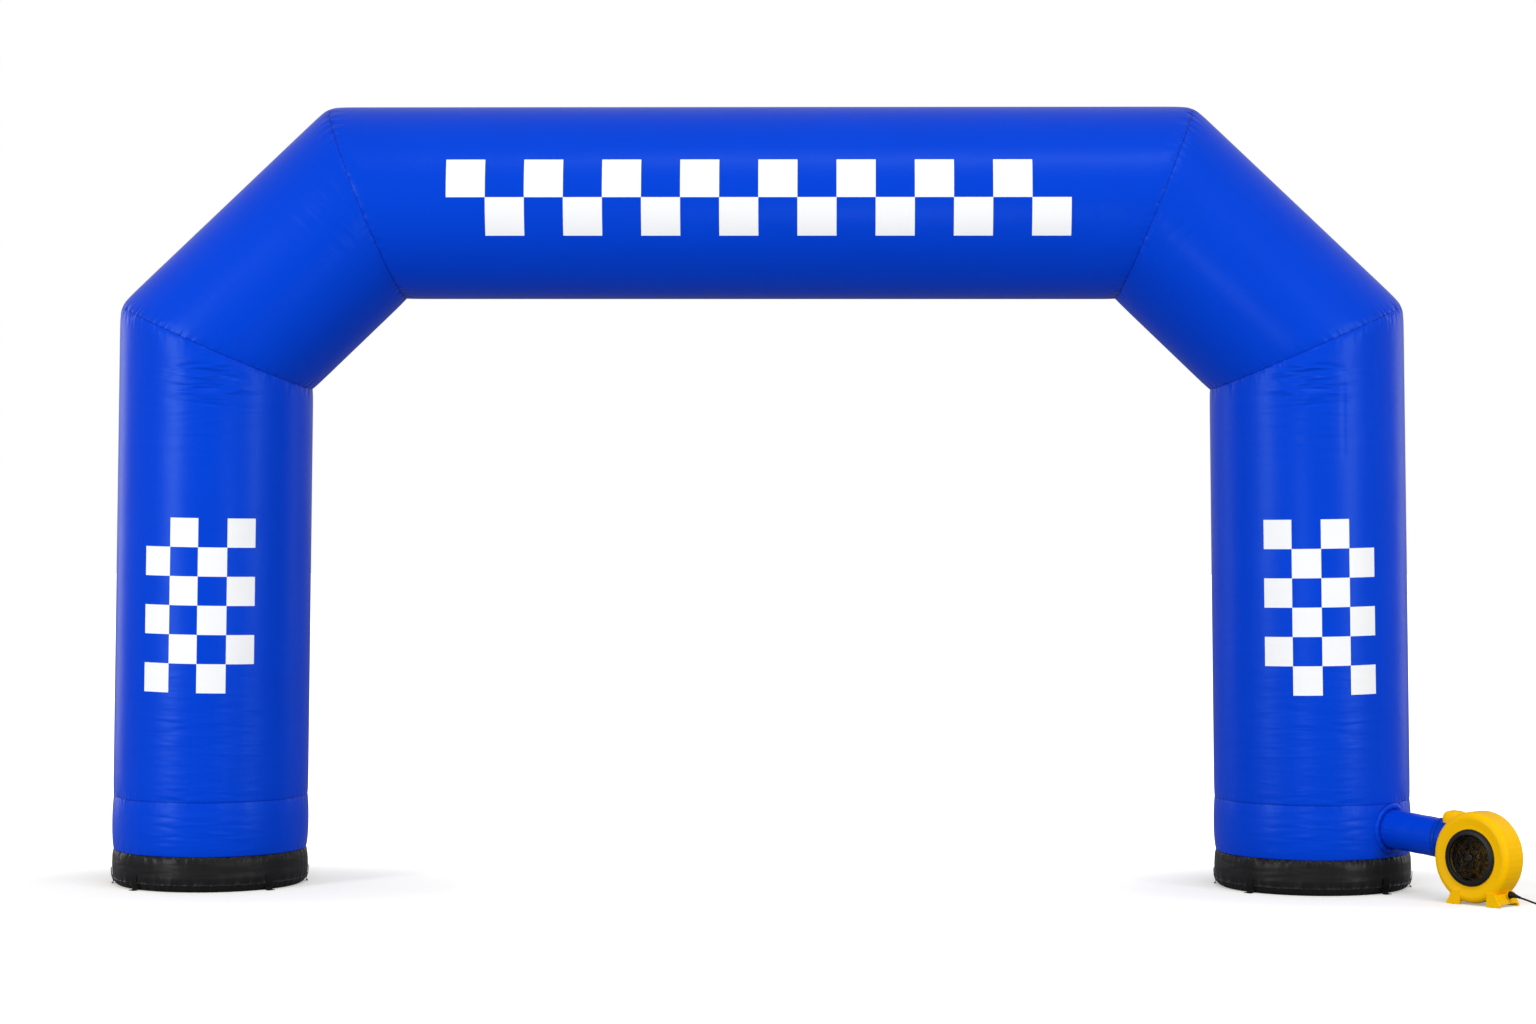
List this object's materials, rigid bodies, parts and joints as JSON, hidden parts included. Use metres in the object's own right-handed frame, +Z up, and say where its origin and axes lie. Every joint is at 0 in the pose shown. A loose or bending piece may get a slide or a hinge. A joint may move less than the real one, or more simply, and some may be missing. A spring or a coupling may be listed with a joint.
{
  "type": "inflatable arch with blower",
  "caption": "Royal-blue inflatable entrance arch of round tube sections on black bases, with a yellow blower that feeds the right leg through a sleeve",
  "frame": {"origin": "on the floor, under the middle of the bounding box of the arch and blower", "axes": "+X along the arch's span towards the blower's leg, +Y to the back, +Z up"},
  "size_m": [7.5742, 1.4998, 4.0757],
  "materials": {
    "blue_fabric": "satin polyurethane-coated polyester, royal blue",
    "black_fabric": "satin coated polyester, black",
    "black_webbing": "woven polyester webbing, black",
    "dark_blue_strap": "woven strap, dark blue",
    "yellow_plastic": "rotationally moulded polyethylene, yellow, semi-gloss",
    "black_plastic": "moulded ABS, black, semi-matt",
    "black_rubber": "black rubber-sheathed mains lead, matt",
    "plated_steel": "nickel-plated plug pins"
  },
  "bodies": {
    "root": {"base_left": "black_fabric", "base_right": "black_fabric", "beam": "blue_fabric", "blower_bezel": "black_plastic", "blower_grille": "black_plastic", "blower_housing": "yellow_plastic", "blower_strain_relief": "black_rubber", "cord_coil": "black_rubber", "cord_lead": "black_rubber", "cord_tail": "black_rubber", "cuff_strap": "dark_blue_strap", "diagonal_left": "blue_fabric", "diagonal_right": "blue_fabric", "inlet_collar": "blue_fabric", "inlet_sleeve": "blue_fabric", "leg_left": "blue_fabric", "leg_right": "blue_fabric", "lower_band_left": "blue_fabric", "lower_band_right": "blue_fabric", "plug_body": "black_rubber", "plug_pin_left": "plated_steel", "plug_pin_right": "plated_steel", "tie_left_1": "black_webbing", "tie_left_2": "black_webbing", "tie_left_3": "black_webbing", "tie_left_4": "black_webbing", "tie_left_5": "black_webbing", "tie_left_6": "black_webbing", "tie_right_1": "black_webbing", "tie_right_2": "black_webbing", "tie_right_3": "black_webbing", "tie_right_4": "black_webbing", "tie_right_5": "black_webbing", "tie_right_6": "black_webbing"}
  },
  "joints": []
}
